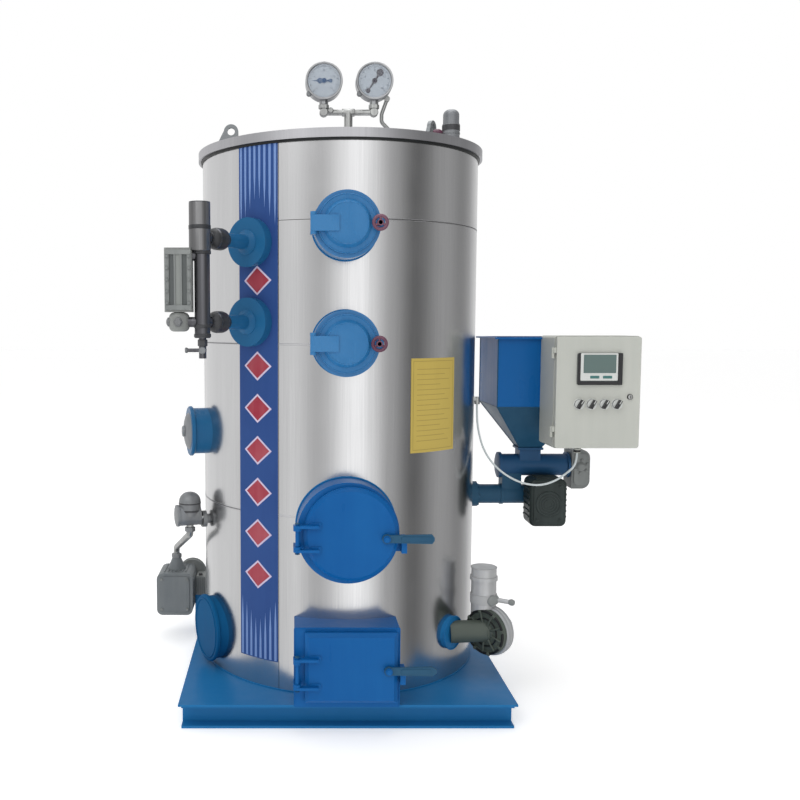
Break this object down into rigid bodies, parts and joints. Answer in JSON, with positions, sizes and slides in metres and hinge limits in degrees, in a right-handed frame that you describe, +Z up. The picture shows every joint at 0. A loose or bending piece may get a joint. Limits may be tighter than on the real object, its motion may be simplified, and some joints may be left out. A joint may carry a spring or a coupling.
{
  "type": "upright biomass steam boiler",
  "caption": "Upright cylindrical steam boiler in steel cladding on a blue base, with fire and ash doors, pressure gauges, level gauge, pellet hopper, feed screw, fan and control box.",
  "frame": {"origin": "on the floor under the drum's axis", "axes": "+Z up, -Y towards the doors, +X towards the fuel hopper"},
  "size_m": [1.674, 1.1803, 2.036],
  "materials": {
    "blue_paint": "gloss enamel",
    "stainless_sheet": "fine vertical brush",
    "wall_core": "dull inner lining",
    "bare_steel": "satin",
    "iron": "rough",
    "gauge_case": "polished",
    "valve_metal": "cast and machined",
    "pump_grey": "satin",
    "pale_grey_paint": "satin powder coat",
    "dark_metal": "satin",
    "red_plastic": "worn gloss",
    "gauge_dark": "satin",
    "dark_plastic": "fine texture",
    "white_sheath": "smooth"
  },
  "bodies": {
    "boiler": {"base_plate": "blue_paint", "base_end_channels": "blue_paint", "base_side_channels": "blue_paint", "base_cross_member": "blue_paint", "pump_pedestal": "blue_paint", "ash_floor": "bare_steel", "drum_wall": "wall_core", "front_wall_ash_jambs": "wall_core", "front_wall_fire_row": "wall_core", "front_wall_lower_hatch_row": "wall_core", "front_wall_upper_hatch_row": "wall_core", "cladding_left": "stainless_sheet", "cladding_right": "stainless_sheet", "drum_lid": "stainless_sheet", "top_rim": "stainless_sheet", "fire_grate": "iron", "lifting_lugs": "bare_steel", "fire_door_frame": "blue_paint", "ash_door_frame": "blue_paint", "upper_hatch_frame": "blue_paint", "lower_hatch_frame": "blue_paint", "gauge_manifold": "bare_steel", "pressure_gauges": "gauge_case", "impulse_pipe": "bare_steel", "safety_valve": "valve_metal", "level_pads": "blue_paint", "level_column": "bare_steel", "sight_glass": "gauge_dark", "mid_port": "blue_paint", "low_port": "blue_paint", "check_valve": "valve_metal", "pump_motor": "pump_grey", "pump_head": "pale_grey_paint", "water_pipe": "bare_steel", "hopper_bin": "blue_paint", "hopper_cone": "blue_paint", "screw_trough": "blue_paint", "feed_tube": "blue_paint", "feed_gearing": "pale_grey_paint", "feed_motor": "dark_metal", "control_box": "pale_grey_paint", "blower_port": "blue_paint", "blower_housing": "pale_grey_paint", "blower_motor": "dark_metal", "blower_neck": "dark_metal", "blower_duct": "pale_grey_paint", "flue_collar": "bare_steel", "drum_gland": "dark_plastic", "signal_cable": "white_sheath"},
    "fire_door": {"fire_door": "blue_paint"},
    "fire_lever": {"fire_door_lever": "blue_paint"},
    "ash_door": {"ash_door": "blue_paint"},
    "ash_lever": {"ash_door_lever": "blue_paint"},
    "upper_hatch": {"upper_hatch_cover": "blue_paint"},
    "upper_knob": {"upper_hatch_knob": "red_plastic"},
    "lower_hatch": {"lower_hatch_cover": "blue_paint"},
    "lower_knob": {"lower_hatch_knob": "red_plastic"},
    "box_door": {"control_box_door": "pale_grey_paint", "control_display": "dark_plastic", "control_switches": "dark_plastic"}
  },
  "joints": [
    {"name": "fire_door_hinge", "type": "hinge", "parent": "boiler", "child": "fire_door", "pos_m": [-0.152, -0.596, 0.606], "axis": [0, 0, -1], "range_deg": [0, 110]},
    {"name": "fire_lever_pivot", "type": "hinge", "parent": "fire_door", "child": "fire_lever", "pos_m": [0.112, -0.5998, 0.606], "axis": [0, -1, 0], "range_deg": [0, 70]},
    {"name": "ash_door_hinge", "type": "hinge", "parent": "boiler", "child": "ash_door", "pos_m": [-0.152, -0.591, 0.193], "axis": [0, 0, -1], "range_deg": [0, 110]},
    {"name": "ash_lever_pivot", "type": "hinge", "parent": "ash_door", "child": "ash_lever", "pos_m": [0.122, -0.5948, 0.203], "axis": [0, -1, 0], "range_deg": [0, 70]},
    {"name": "box_door_hinge", "type": "hinge", "parent": "boiler", "child": "box_door", "pos_m": [0.6955, -0.23275, 1.011], "axis": [0, 0, -1], "range_deg": [0, 110]},
    {"name": "upper_hatch_hinge", "type": "hinge", "parent": "boiler", "child": "upper_hatch", "pos_m": [-0.1065, -0.5963, 1.526], "axis": [0, 0, -1], "range_deg": [0, 110]},
    {"name": "upper_knob_screw", "type": "hinge", "parent": "upper_hatch", "child": "upper_knob", "pos_m": [0.084, -0.6, 1.526], "axis": [0, -1, 0], "continuous": true},
    {"name": "lower_hatch_hinge", "type": "hinge", "parent": "boiler", "child": "lower_hatch", "pos_m": [-0.1065, -0.5963, 1.18], "axis": [0, 0, -1], "range_deg": [0, 110]},
    {"name": "lower_knob_screw", "type": "hinge", "parent": "lower_hatch", "child": "lower_knob", "pos_m": [0.084, -0.6, 1.18], "axis": [0, -1, 0], "continuous": true}
  ]
}
